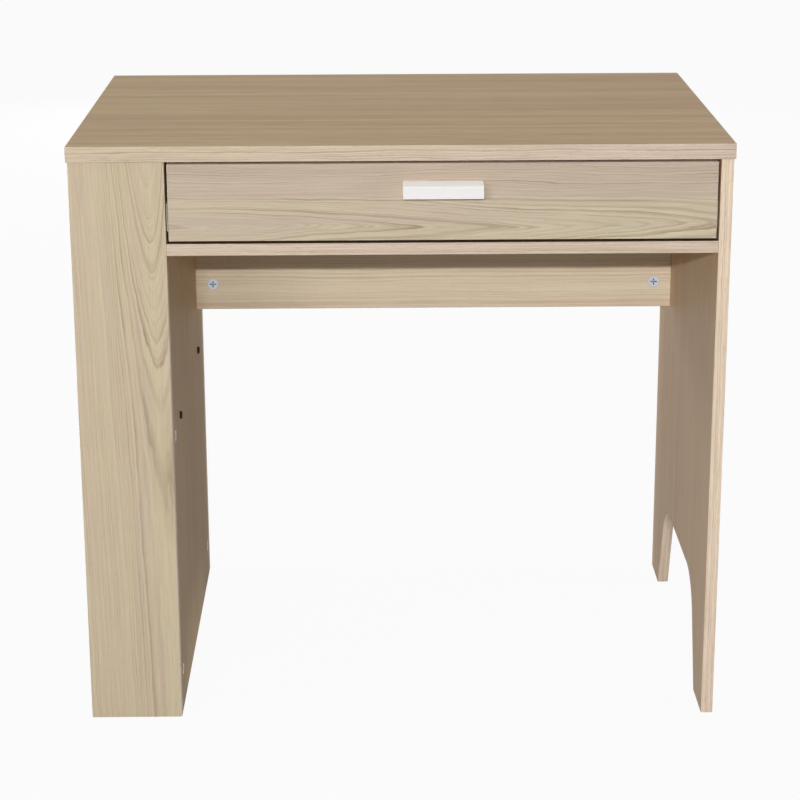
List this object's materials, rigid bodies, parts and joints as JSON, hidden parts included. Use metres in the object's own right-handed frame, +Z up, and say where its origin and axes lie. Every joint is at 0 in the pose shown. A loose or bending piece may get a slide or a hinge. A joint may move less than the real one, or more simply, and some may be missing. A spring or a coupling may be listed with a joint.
{
  "type": "writing desk",
  "caption": "Flat-pack writing desk in pale oak laminate with an open side column, an arched panel leg, a drawer on roller runners and a modesty panel.",
  "frame": {"origin": "on the floor, under the middle of the desk's outline, handle included", "axes": "+X to the right of a person who faces the drawer, +Y to the back, +Z up"},
  "size_m": [0.8, 0.574, 0.74],
  "materials": {
    "laminated_board": "pale oak melamine on chipboard, satin",
    "drawer_board": "pale oak foil on chipboard, satin",
    "hardboard": "hardboard, matt",
    "beech_dowel": "bare beech",
    "zinc_cam": "die-cast zinc, dull nickel plating",
    "zinc_plated_steel": "zinc-plated steel",
    "blackened_screw": "blackened steel, satin",
    "white_coated_steel": "white epoxy powder coat on steel sheet",
    "nylon_roller": "natural nylon",
    "satin_aluminium": "satin anodised aluminium"
  },
  "bodies": {
    "carcass": {"desktop": "laminated_board", "column_front_panel": "laminated_board", "column_back_panel": "laminated_board", "column_inner_panel": "laminated_board", "middle_shelf": "laminated_board", "bottom_shelf": "laminated_board", "right_side_panel": "laminated_board", "bay_floor": "laminated_board", "modesty_panel": "laminated_board", "column_cam_locks": "zinc_cam", "desktop_cam_locks": "zinc_cam", "modesty_panel_cam_locks": "zinc_cam", "bay_floor_cam_locks": "zinc_cam", "bottom_shelf_cam_locks": "zinc_cam", "column_cam_bolts": "zinc_plated_steel", "desktop_cam_bolts": "zinc_plated_steel", "modesty_panel_cam_bolts": "zinc_plated_steel", "bay_floor_cam_bolts": "zinc_plated_steel", "bottom_shelf_cam_bolts": "zinc_plated_steel", "column_dowels": "beech_dowel", "desktop_dowels": "beech_dowel", "bay_dowels": "beech_dowel", "shelf_dowels": "beech_dowel", "shelf_screws": "blackened_screw", "cabinet_runner_screws": "zinc_plated_steel", "cabinet_runner_left": "white_coated_steel", "cabinet_runner_right": "white_coated_steel", "cabinet_roller_pins": "zinc_plated_steel"},
    "drawer": {"drawer_front": "laminated_board", "drawer_left_side": "drawer_board", "drawer_right_side": "drawer_board", "drawer_back": "drawer_board", "drawer_bottom": "hardboard", "handle": "satin_aluminium", "handle_screws": "zinc_plated_steel", "drawer_cam_locks": "zinc_cam", "drawer_cam_bolts": "zinc_plated_steel", "drawer_dowels": "beech_dowel", "drawer_box_screws": "zinc_plated_steel", "drawer_runner_screws": "zinc_plated_steel", "drawer_roller_pins": "zinc_plated_steel", "drawer_runner_left": "white_coated_steel", "drawer_runner_right": "white_coated_steel"},
    "cabinet_roller_left_wheel": {"cabinet_roller_left": "nylon_roller"},
    "cabinet_roller_right_wheel": {"cabinet_roller_right": "nylon_roller"},
    "drawer_roller_left_wheel": {"drawer_roller_left": "nylon_roller"},
    "drawer_roller_right_wheel": {"drawer_roller_right": "nylon_roller"}
  },
  "joints": [
    {"name": "drawer_slide", "type": "slide", "parent": "carcass", "child": "drawer", "axis": [0, -1, 0], "range_m": [0, 0.26]},
    {"name": "cabinet_roller_left_spin", "type": "hinge", "parent": "carcass", "child": "cabinet_roller_left_wheel", "pos_m": [-0.2773, -0.23, 0.6453], "axis": [1, 0, 0], "range_deg": [0, 1865]},
    {"name": "cabinet_roller_right_spin", "type": "hinge", "parent": "carcass", "child": "cabinet_roller_right_wheel", "pos_m": [0.3773, -0.23, 0.6453], "axis": [1, 0, 0], "range_deg": [0, 1865]},
    {"name": "drawer_roller_left_spin", "type": "hinge", "parent": "drawer", "child": "drawer_roller_left_wheel", "pos_m": [-0.2762, 0.092, 0.6423], "axis": [1, 0, 0], "range_deg": [0, 1865]},
    {"name": "drawer_roller_right_spin", "type": "hinge", "parent": "drawer", "child": "drawer_roller_right_wheel", "pos_m": [0.3762, 0.092, 0.6423], "axis": [1, 0, 0], "range_deg": [0, 1865]}
  ],
  "couplings": [
    {"joint": "cabinet_roller_left_spin", "follows": "drawer_slide", "rad_per_m": 125},
    {"joint": "cabinet_roller_right_spin", "follows": "drawer_slide", "rad_per_m": 125},
    {"joint": "drawer_roller_left_spin", "follows": "drawer_slide", "rad_per_m": 125},
    {"joint": "drawer_roller_right_spin", "follows": "drawer_slide", "rad_per_m": 125}
  ]
}
